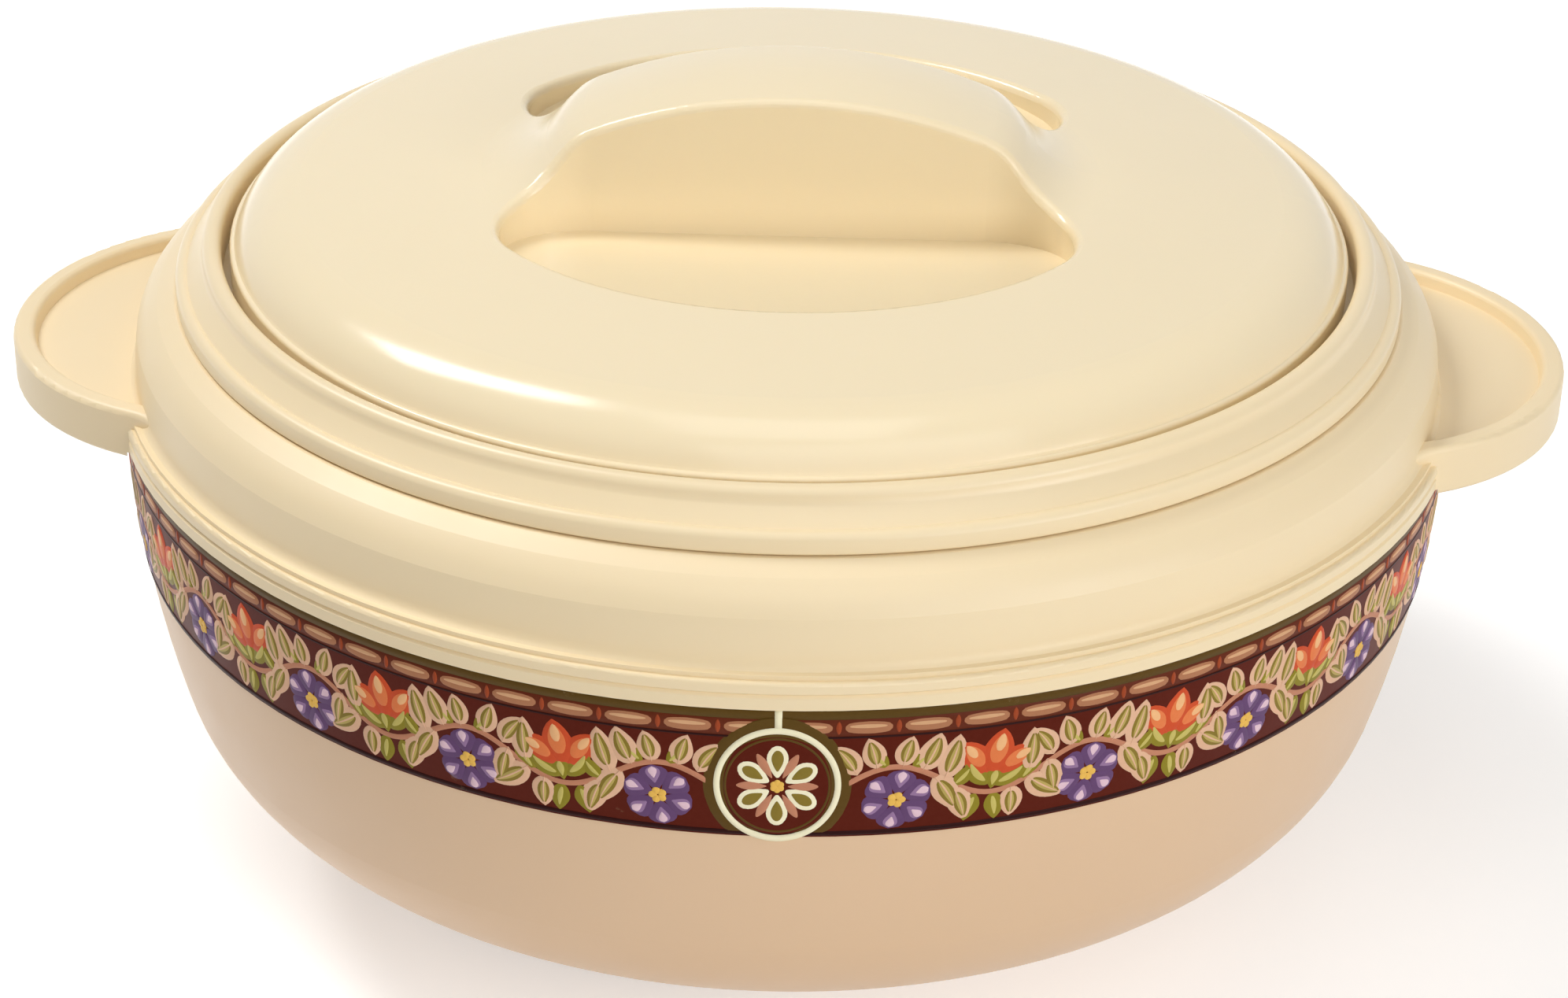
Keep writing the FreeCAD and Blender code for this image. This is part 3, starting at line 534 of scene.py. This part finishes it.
def printedInk(name, colour):
    # The ink's density varies a little over centimetres, its grain is about 1 mm, and small pale
    # rubs show where the band is handled most.
    skin = inkSkin
    material, tree, shader = newMaterial(name)
    place = objectPlace(tree)
    thin, dense = skin["density"]
    layer = blendColour(tree, noise(tree, place, *skin["densityNoise"]),
                        shaded(colour, thin), shaded(colour, dense))
    grain = spread(tree, noise(tree, place, *skin["grainNoise"]), skin["grainRange"],
                   (0.0, skin["grainMost"]))
    grained = blendColour(tree, grain, layer, shaded(colour, *skin["grainPale"]))
    rub = spread(tree, noise(tree, place, *skin["rubNoise"]), skin["rubRange"],
                 (0.0, skin["rubMost"]))
    tree.links.new(blendColour(tree, rub, grained, skin["rubColour"]), shader.inputs["Base Color"])
    gloss = spread(tree, noise(tree, place, *skin["glossNoise"]), skin["glossRange"],
                   skin["roughness"])
    dull = mathNode(tree, "MULTIPLY", rub, skin["rubDull"])
    tree.links.new(mathNode(tree, "ADD", gloss, dull), shader.inputs["Roughness"])
    bumps(tree, shader, [(noise(tree, place, *skin[layerName][0]), skin[layerName][1])
                         for layerName in ("waves", "dots")])
    shader.inputs["Specular IOR Level"].default_value = skin["gloss"]
    return material


inkMaterials = {name: printedInk(name, colour) for name, colour in inks.items()}
dress("printed_band", inkMaterials["fieldInk"])

band = {
    "bowlRadius": 130 * mm,
    "skin": 0.3 * mm,            # thickness of the film
    "sideBend": 208 * mm,        # radius of the bowl's long side curve, which starts at the top
    "top": 98 * mm,
    "middle": 83.3 * mm,         # height of the garland's middle line
    "repeat": 34.95 * mm,        # length of one repeat of the garland
    "repeats": 11,               # on each side, from the front medallion round to the back one
    "start": 12.0 * mm,          # from the medallion's middle to the garland's end
    "shift": 2.1 * mm,           # of the whole print round the bowl, towards the right ear
    "bars": 80,                  # in the border, all round
    "stripeSteps": 288,          # points round a stripe
    "leafSteps": 11,             # points along a leaf
    "leafTip": 0.08,             # share of a leaf's length in which it sinks into the band
    "thinnest": 0.0005,          # least sine in a leaf's width, so its tip isn't quite a point
    "stripeEdge": 0.08,          # width of the slope at both edges of a stripe, in mm
    "sunk": -0.05,               # height of a piece's edges over the band, in mm
}
arch = {
    "across": np.array([-1, -0.8, 0, 0.8, 1]),   # a strip's section, in half widths
    "rise": np.array([0, 0.85, 1, 0.85, 0]),
}


def onBand(across, up, lift):
    # A point on the band: across runs round the bowl from the front medallion, up is the height.
    # The radius is that of the bowl's side curve, sideBend + skin + lift about its centre, below
    # the band's top.
    reach = band["sideBend"] + band["skin"] + lift
    drop = np.maximum(band["top"] - up, 0)
    radius = band["bowlRadius"] - band["sideBend"] + np.sqrt(reach ** 2 - drop ** 2)
    angle = (across + band["shift"]) / band["bowlRadius"]
    return np.stack([radius * np.sin(angle), -radius * np.cos(angle), up + 0 * radius], axis=-1)


def gridMesh(name, points, material, closed=False):
    # Many equal grids in one piece: points[k, i, j] is point i, j of grid k, and its faces look out
    # where i, j and outwards are right-handed. closed joins the last i to the first.
    count, rows, columns = points.shape[:3]
    index = np.arange(count * rows * columns).reshape(count, rows, columns)
    if closed:
        index = np.concatenate([index, index[:, :1]], axis=1)
    corners = np.stack([index[:, :-1, :-1], index[:, 1:, :-1], index[:, 1:, 1:],
                        index[:, :-1, 1:]], axis=-1)
    mesh = bpy.data.meshes.new(name)
    mesh.from_pydata(points.reshape(-1, 3).tolist(), [], corners.reshape(-1, 4).tolist())
    mesh.polygons.foreach_set("use_smooth", np.ones(len(mesh.polygons), dtype=bool))
    mesh.materials.append(material)
    mesh.update()
    piece = bpy.data.objects.new(name, mesh)
    bpy.context.scene.collection.objects.link(piece)
    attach(piece, "base")
    return piece


def printed(name, points, ink, closed=False):
    gridMesh(name, points, inkMaterials[ink], closed)


def edgeFade(share, width):
    # 0 at both ends of the run from 0 to 1, and 1 further in than width
    return np.clip(np.minimum(share, 1 - share) / width, 0, 1)


def leafGrids(rows, low, high, step=0.0):
    # Each row is a leaf in mm and degrees: x, y, angle, length, half width, curl, bulge, bluntness.
    # Its midrib leaves (x, y) at the angle and turns by curl over the length. The half width at
    # share s of the length is width * sin(pi * s^bulge)^bluntness. The ink stands high mm over the
    # band in the middle and sinks to low at the leaf's edge; each next leaf stands step higher.
    table = np.array(rows, dtype=float)
    x, y, angle, length, width, curl, bulge, blunt = table.T[:, :, None, None]
    share = np.linspace(0, 1, band["leafSteps"])[None, :, None]
    angle, curl = np.radians(angle), np.radians(curl)
    midX = x + length * share * np.cos(angle + curl * share / 2)
    midY = y + length * share * np.sin(angle + curl * share / 2)
    half = width * np.maximum(np.sin(np.pi * share ** bulge), band["thinnest"]) ** blunt
    across = midX - half * arch["across"] * np.sin(angle + curl * share)
    up = midY + half * arch["across"] * np.cos(angle + curl * share)
    rise = edgeFade(share, band["leafTip"]) * arch["rise"]
    rank = np.arange(len(table))[:, None, None]
    lift = low + (high - low + rank * step) * rise
    return np.stack([across, up, lift], axis=-1) * mm


def petalRing(x, y, hub, count, start, length, width, bulge, blunt):
    # count leaves that point away from (x, y), their feet hub from it
    turns = start + 360 / count * np.arange(count)
    return [(x + hub * math.cos(math.radians(turn)), y + hub * math.sin(math.radians(turn)),
             turn, length, width, 0, bulge, blunt) for turn in turns]


def inset(rows, start, stop, thin):
    # The same leaves from share start to stop of their length, thin times as wide
    made = []
    for x, y, angle, length, width, curl, bulge, blunt in rows:
        aim = math.radians(angle + curl * start / 2)
        made.append((x + length * start * math.cos(aim), y + length * start * math.sin(aim),
                     angle + curl * start, length * (stop - start), width * thin,
                     curl * (stop - start), bulge, blunt))
    return made


def roundBand(grids, middle):
    # The garland's grids, repeated from the front medallion to the back one, and mirrored
    copies = band["start"] + band["repeat"] * np.arange(band["repeats"])
    shifted = grids[None] + np.zeros((len(copies), 1, 1, 1, 1))
    shifted[..., 0] += copies[:, None, None, None]
    right = shifted.reshape(-1, *grids.shape[1:])
    left = right[:, :, ::-1].copy()
    left[..., 0] *= -1
    both = np.concatenate([right, left])
    return onBand(both[..., 0], both[..., 1] + middle, both[..., 2])


garland = {
    # x, y, angle, length, half width, curl, bulge, bluntness, in mm and degrees; x is from the
    # repeat's start and y from the middle line
    "leaves": [
        (1.6, 2.2, 112, 7.2, 2.2, 24, 0.85, 0.75),
        (5.0, 3.3, 98, 6.6, 2.1, 14, 0.85, 0.75),
        (9.4, 3.5, 80, 6.4, 2.1, -10, 0.85, 0.75),
        (12.8, 2.5, 58, 8.0, 2.5, 20, 0.85, 0.75),
        (16.6, 0.2, 66, 9.4, 2.5, 16, 0.85, 0.75),
        (14.8, 1.2, -50, 9.0, 2.5, -22, 0.85, 0.75),
        (18.4, -1.6, -64, 7.8, 2.3, -16, 0.85, 0.75),
        (31.6, -1.2, -44, 9.2, 2.5, 18, 0.85, 0.75),
        (28.8, -2.9, -80, 6.6, 2.2, -16, 0.85, 0.75),
        (32.0, -0.4, 80, 9.0, 2.4, 14, 0.85, 0.75),
        (35.4, 1.6, -70, 8.0, 2.2, -14, 0.85, 0.75),
    ],
    "greenLeaves": [
        (22.6, -3.6, -118, 6.0, 1.9, 20, 0.85, 0.80),
        (11.0, 3.4, 30, 6.0, 1.6, 30, 0.90, 0.80),
        (30.4, -2.0, 44, 6.6, 1.7, 34, 0.90, 0.80),
        (25.4, -3.8, -72, 6.0, 1.8, -18, 0.85, 0.80),
        (7.0, 3.6, 142, 5.6, 1.5, -26, 0.90, 0.80),
        (18.2, -1.2, 30, 5.2, 1.5, 40, 0.90, 0.80),
    ],
    "buds": [
        (24.4, 0.3, 116, 8.4, 2.5, 14, 0.90, 0.70),
        (26.0, 0.3, 40, 8.4, 2.5, -14, 0.90, 0.70),
        (25.2, 0.1, 78, 9.4, 2.9, 0, 0.90, 0.70),
    ],
    "sepals": [
        (25.2, -1.8, 152, 7.6, 1.7, -54, 0.90, 0.80),
        (25.2, -1.8, 4, 7.6, 1.7, 54, 0.90, 0.80),
        (25.2, -3.0, 78, 4.8, 1.8, 0, 1.30, 0.80),
    ],
    # x, y, the feet's distance from there, count, first angle, length, half width, bulge, bluntness
    "blossom": (8.5, -3.3, 0.7, 6, 20, 5.6, 2.6, 1.75, 0.6),
    "eye": (8.5, -3.3, 0.1, 5, 0, 1.6, 0.75, 1.2, 0.6),
}
vine = {
    "height": 3.6,               # of a crest over the middle line, in mm as the rest
    "crest": 8.0,                # from the repeat's start
    "half": 0.55,                # half its width
    "steps": 49,
    "lift": np.array([-0.03, 0.05, 0.06, 0.05, -0.03]),
}


def vineGrid(spec):
    # A strip along a cosine wave, its crest over the blossom and its trough under the bud
    length = band["repeat"] / mm
    x = np.linspace(0, 1, spec["steps"])[None, :, None] * band["repeat"] / mm
    phase = 2 * np.pi * (x - spec["crest"]) / length
    tilt = np.arctan(-spec["height"] * 2 * np.pi / length * np.sin(phase))
    across = x - spec["half"] * arch["across"] * np.sin(tilt)
    up = spec["height"] * np.cos(phase) + spec["half"] * arch["across"] * np.cos(tilt)
    return np.stack([across, up, spec["lift"] + 0 * across], axis=-1) * mm


def makeGarland(spec):
    petals = petalRing(*spec["blossom"])
    eye = petalRing(*spec["eye"])
    green, sepals, buds, leaves = (spec[key] for key in ("greenLeaves", "sepals", "buds", "leaves"))
    layers = [
        # piece, rows, low, high, step, ink
        ("greenLeaves", green, -0.03, 0.06, 0.004, "greenInk"),
        ("greenLights", inset(green, 0.1, 0.85, 0.3), 0.03, 0.10, 0.004, "greenLightInk"),
        ("blossomPetals", petals, -0.03, 0.07, 0.005, "violetInk"),
        ("blossomShades", inset(petals, 0.30, 0.95, 0.55), 0.03, 0.11, 0.005, "mauveInk"),
        ("blossomLights", inset(petals, 0.50, 0.93, 0.34), 0.06, 0.15, 0.005, "lilacInk"),
        ("blossomEyes", eye, 0.02, 0.18, 0.005, "eyeInk"),
        ("sepals", sepals, -0.03, 0.08, 0.005, "greenInk"),
        ("sepalLights", inset(sepals, 0.15, 0.85, 0.4), 0.05, 0.12, 0.005, "greenLightInk"),
        ("budPetals", buds, -0.03, 0.11, 0.008, "budInk"),
        ("budShades", inset(buds, 0.22, 0.90, 0.6), 0.07, 0.15, 0.008, "budMiddleInk"),
        ("budLights", inset(buds, 0.50, 0.90, 0.34), 0.11, 0.19, 0.008, "budLightInk"),
        ("leafEdges", leaves, -0.03, 0.10, 0.004, "leafEdgeInk"),
        ("leafHearts", inset(leaves, 0.13, 0.92, 0.58), 0.06, 0.14, 0.004, "leafHeartInk"),
        ("leafLights", inset(leaves, 0.16, 0.88, 0.30), 0.10, 0.17, 0.004, "leafLightInk"),
        ("leafVeins", inset(leaves, 0.0, 0.92, 0.08), 0.13, 0.20, 0.004, "leafEdgeInk"),
    ]
    printed("vine", roundBand(vineGrid(vine), band["middle"]), "vineInk")
    for name, rows, low, high, step, ink in layers:
        printed(name, roundBand(leafGrids(rows, low, high, step), band["middle"]), ink)


makeGarland(garland)
print("garland made")

rim = {
    # Millimetres from the axis and up, round the section from its lower outer edge. A third number
    # is the radius of the arc to the next point, below zero where it is hollow.
    "section": [
        (119.2, 122.7), (119.2, 124.9, 1.6), (117, 126.1, -30), (114.1, 129.2),
        (113.8, 130.2, 1.8), (112, 132, 1.8), (110.2, 130.2), (110.2, 124.4), (103.5, 124.4),
        (103.5, 122.6), (113.3, 122.6), (113.3, 122), (114, 122), (114, 120), (116, 120),
        (116, 122), (117.2, 122), (117.2, 122.2), (118.7, 122.2, 0.5),
    ],
    "arcSteps": 10,
    "around": 480,
    "sharpFrom": 40,             # degrees between two faces
    "weld": 1e-6,
}


def sectionPoints(section, steps):
    # Straight from point to point, or along the arc: its centre stands on the chord's left, at the
    # height that gives the radius.
    made = []
    for start, end in zip(section, section[1:] + section[:1]):
        first, last = np.array(start[:2]), np.array(end[:2])
        if len(start) == 2:
            made.append(first[None])
            continue
        chord = last - first
        length = np.hypot(*chord)
        left = np.array([-chord[1], chord[0]]) / length * math.copysign(1, start[2])
        centre = (first + last) / 2 + left * math.sqrt(start[2] ** 2 - length ** 2 / 4)
        fromAngle = math.atan2(*(first - centre)[::-1])
        sweep = (math.atan2(*(last - centre)[::-1]) - fromAngle + math.pi) % (2 * math.pi) - math.pi
        angle = fromAngle + sweep * np.linspace(0, 1, steps, endpoint=False)
        made.append(centre + abs(start[2]) * np.stack([np.cos(angle), np.sin(angle)], axis=-1))
    return np.concatenate(made)


def makeRim(spec):
    # The section carried round the axis: x = r cos(turn), y = r sin(turn)
    profile = sectionPoints(spec["section"], spec["arcSteps"])
    profile = np.concatenate([profile, profile[:1]]) * mm
    turn = np.linspace(0, 2 * np.pi, spec["around"], endpoint=False)[:, None]
    points = np.stack([profile[:, 0] * np.cos(turn), profile[:, 0] * np.sin(turn),
                       profile[:, 1] + 0 * turn], axis=-1)
    ring = gridMesh("rimRing", points[None], materials["rimPlastic"], closed=True)
    weldEnds(ring, spec["weld"])
    ring.data.set_sharp_from_angle(angle=math.radians(spec["sharpFrom"]))
    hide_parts("rim_ring")


def weldEnds(piece, distance):
    # joins the section's last point to its first
    work = bmesh.new()
    work.from_mesh(piece.data)
    bmesh.ops.remove_doubles(work, verts=work.verts, dist=distance)
    work.to_mesh(piece.data)
    work.free()


makeRim(rim)
print("rim ring made")

stripes = {
    # lower and upper edge and height over the band, in mm; ink
    # print up to the band's top at 98 mm; from there up to 99.05 mm it runs on under the collar's
    # lip as painted shade
    "topStripeAndLipShade": (96.9, 99.05, 0.12, "oliveInk"),
    "borderGround": (93.5, 97.0, 0.05, "borderInk"),
    "borderLine": (93.1, 93.6, 0.10, "darkInk"),
    "footStripe": (72.7, 73.7, 0.08, "darkInk"),
}


def makeStripe(name, low, high, lift, ink):
    # A ring round the bowl whose section is a low flat arch with its feet in the band
    edge = band["stripeEdge"]
    up = np.array([low, low + edge, high - edge, high]) * mm
    rise = np.array([band["sunk"], lift, lift, band["sunk"]]) * mm
    turn = np.linspace(0, 2 * np.pi, band["stripeSteps"], endpoint=False)[:, None]
    across = turn * band["bowlRadius"]
    points = onBand(across + 0 * up, up[None] + 0 * across, rise[None] + 0 * across)
    printed(name, points[None], ink, closed=True)


for stripeName, stripeSpec in stripes.items():
    makeStripe(stripeName, *stripeSpec)

border = {
    "middle": 95.25,             # height of the bars' middle line; all of these are in mm
    "barLength": 8.6,
    "barHalf": 1.3,              # half its width
    "lightStart": (0.7, 0.3),    # of the light on a bar, from the bar's own start
    "lightShorter": 1.6,         # than the bar
    "lightHalf": 0.42,
    "beadLength": 2.7,
    "beadHalf": 0.5,
}


def makeBorder(spec):
    # Blunt bars with a bead between each two, evenly round the bowl
    pitch = 2 * np.pi * band["bowlRadius"] / band["bars"]
    start = (pitch / mm - spec["barLength"]) / 2
    inX, inY = spec["lightStart"]
    bar = (start, 0, 0, spec["barLength"], spec["barHalf"], 0, 1.0, 0.3)
    light = (start + inX, inY, 0, spec["barLength"] - spec["lightShorter"], spec["lightHalf"],
             0, 1.0, 0.5)
    bead = (0, -spec["beadLength"] / 2, 90, spec["beadLength"], spec["beadHalf"], 0, 1.0, 0.7)
    rows = {
        "borderBars": (bar, 0.0, 0.13, "barInk"),
        "barLights": (light, 0.08, 0.17, "barLightInk"),
        "borderBeads": (bead, 0.0, 0.13, "jointInk"),
    }
    turns = np.arange(band["bars"])[:, None, None] * pitch
    for name, (leaf, low, high, ink) in rows.items():
        grid = leafGrids([leaf], low, high)
        points = onBand(grid[..., 0] + turns, grid[..., 1] + spec["middle"] * mm + 0 * turns,
                        grid[..., 2] + 0 * turns)
        printed(name, points, ink)


makeBorder(border)
print("border made")

medallion = {
    "height": 83.5,              # of its middle; lengths here are in mm
    "tall": 1.09,                # its height over its width
    "halo": 12.7,                # radius, as are the next three
    "ringOuter": 11.1,
    "ringInner": 9.6,
    "line": (8.5, 9.3),
    "overlap": 0.3,              # of the ground and of the tick with the ring
    "tickHalf": 0.7,             # half its width
    "tickTop": 98.9,             # how high up the bowl it ends
    # height over the band
    "lifts": {"halo": 0.20, "ground": 0.24, "ring": 0.36, "line": 0.29, "tick": 0.36},
    # rings of petals: the feet's distance from the middle, count, first angle, length, half width,
    # bulge, bluntness
    "broadPetals": (1.2, 6, 30, 5.6, 1.75, 1.35, 0.65),
    "slimPetals": (1.4, 6, 0, 4.8, 0.75, 1.2, 0.8),
    "eyePetals": (0.0, 6, 30, 1.3, 0.6, 1.2, 0.6),
    "rosette": 1.16,             # scale of the broad and the slim petals
    "gridSteps": 25,
    "gridEdge": 0.999,           # share of the radius past which a disc's edge is sunk
    "hoopSteps": 96,
    "hoopEdge": 0.25,            # width of the slope at both edges of a hoop, at most
    "hoopShoulder": 0.9,         # height at the inner end of that slope, as a share of the lift
    "hoopSunk": -0.4,            # deeper than a leaf's edge: the band ends under the hoop's foot
    "plateEdge": (0.8, 0.1),     # slope at the tick's edges: share of its half width, and mm
}


def roundGrid(radius, lift, steps):
    # A square grid pressed into a circle: x = a * sqrt(1 - b^2 / 2), y = b * sqrt(1 - a^2 / 2)
    a, b = np.meshgrid(np.linspace(-1, 1, steps), np.linspace(-1, 1, steps), indexing="ij")
    x = a * np.sqrt(1 - b ** 2 / 2) * radius
    y = b * np.sqrt(1 - a ** 2 / 2) * radius
    rise = np.where(np.maximum(abs(a), abs(b)) > medallion["gridEdge"], band["sunk"], lift)
    return np.stack([x, y, rise], axis=-1)[None] * mm


def haloGrid(radius, low, lift, steps):
    # A disc cut off level at the height low: rows from low to the top, closer together higher up,
    # each as wide as the circle is there
    share = np.linspace(0, 1, steps)
    y = low + (radius * medallion["gridEdge"] - low) * np.sin(share * np.pi / 2)
    side = np.linspace(-1, 1, steps)
    x = np.sqrt(radius ** 2 - y ** 2) * side[:, None]
    fade = edgeFade(share, 1 - medallion["gridEdge"])
    inner = np.outer(fade, fade)
    rise = band["sunk"] + (lift - band["sunk"]) * inner
    return np.stack([x, y + 0 * x, rise], axis=-1)[None] * mm


def hoopGrid(inner, outer, lift):
    # A flat arch of ink carried round a circle. Its edges reach down to the bowl, because its lower
    # end stands out under the band's foot.
    turn = np.linspace(0, 2 * np.pi, medallion["hoopSteps"], endpoint=False)[:, None]
    edge = min(medallion["hoopEdge"], (outer - inner) / 4)
    sunk, shoulder = medallion["hoopSunk"], lift * medallion["hoopShoulder"]
    reach = np.array([outer, outer - edge, (inner + outer) / 2, inner + edge, inner])[None]
    rise = np.array([sunk, shoulder, lift, shoulder, sunk])[None] + 0 * turn
    return np.stack([reach * np.cos(turn), reach * np.sin(turn), rise], axis=-1)[None] * mm


def plateGrid(half, low, high, lift):
    # An upright bar with its edges sunk
    share, edge = medallion["plateEdge"]
    across = np.array([-half, -half * share, half * share, half])[:, None]
    up = np.array([low, low + edge, high - edge, high])[None]
    inner = np.array([0, 1, 1, 0])
    rise = band["sunk"] + (lift - band["sunk"]) * inner[:, None] * inner[None]
    return np.stack([across + 0 * up, up + 0 * across, rise], axis=-1)[None] * mm


def atMedallions(grids):
    # The same grids round the front medallion's middle and the back one's
    places = np.array([0, np.pi * band["bowlRadius"]])[:, None, None, None]
    points = grids[None] + np.zeros((2, 1, 1, 1, 1))
    made = onBand(points[..., 0] + places,
                  points[..., 1] * medallion["tall"] + medallion["height"] * mm, points[..., 2])
    return made.reshape(-1, *grids.shape[1:])


def rosettePart(hub, count, start, length, width, bulge, blunt, scale=1.0):
    # A ring of petals round the medallion's middle, scale times as large
    return petalRing(0, 0, hub * scale, count, start, length * scale, width * scale, bulge, blunt)


def makeMedallions(spec):
    lifts, steps = spec["lifts"], spec["gridSteps"]
    foot = (stripes["footStripe"][0] - spec["height"]) / spec["tall"]
    top = (spec["tickTop"] - spec["height"]) / spec["tall"]
    halo = haloGrid(spec["halo"], foot, lifts["halo"], steps)
    ground = roundGrid(spec["ringInner"] + spec["overlap"], lifts["ground"], steps)
    ring = hoopGrid(spec["ringInner"], spec["ringOuter"], lifts["ring"])
    line = hoopGrid(*spec["line"], lifts["line"])
    printed("medallionHalo", atMedallions(halo), "oliveInk")
    printed("medallionGround", atMedallions(ground), "fieldInk")
    printed("medallionRing", atMedallions(ring), "creamInk", closed=True)
    printed("medallionLine", atMedallions(line), "oliveInk", closed=True)
    broad = rosettePart(*spec["broadPetals"], spec["rosette"])
    slim = rosettePart(*spec["slimPetals"], spec["rosette"])
    eye = rosettePart(*spec["eyePetals"])
    layers = [
        # piece, rows, low, high, ink
        ("rosettePetals", broad, 0.20, 0.30, "creamInk"),
        ("rosetteHearts", inset(broad, 0.2, 0.86, 0.55), 0.27, 0.34, "leafHeartInk"),
        ("rosetteLights", slim, 0.20, 0.31, "vineInk"),
        ("rosetteEye", eye, 0.22, 0.34, "eyeInk"),
    ]
    for name, rows, low, high, ink in layers:
        printed(name, atMedallions(leafGrids(rows, low, high)), ink)
    tick = plateGrid(spec["tickHalf"], spec["ringOuter"] - spec["overlap"], top, lifts["tick"])
    printed("medallionTick", atMedallions(tick), "creamInk")


makeMedallions(medallion)
print("medallions made")
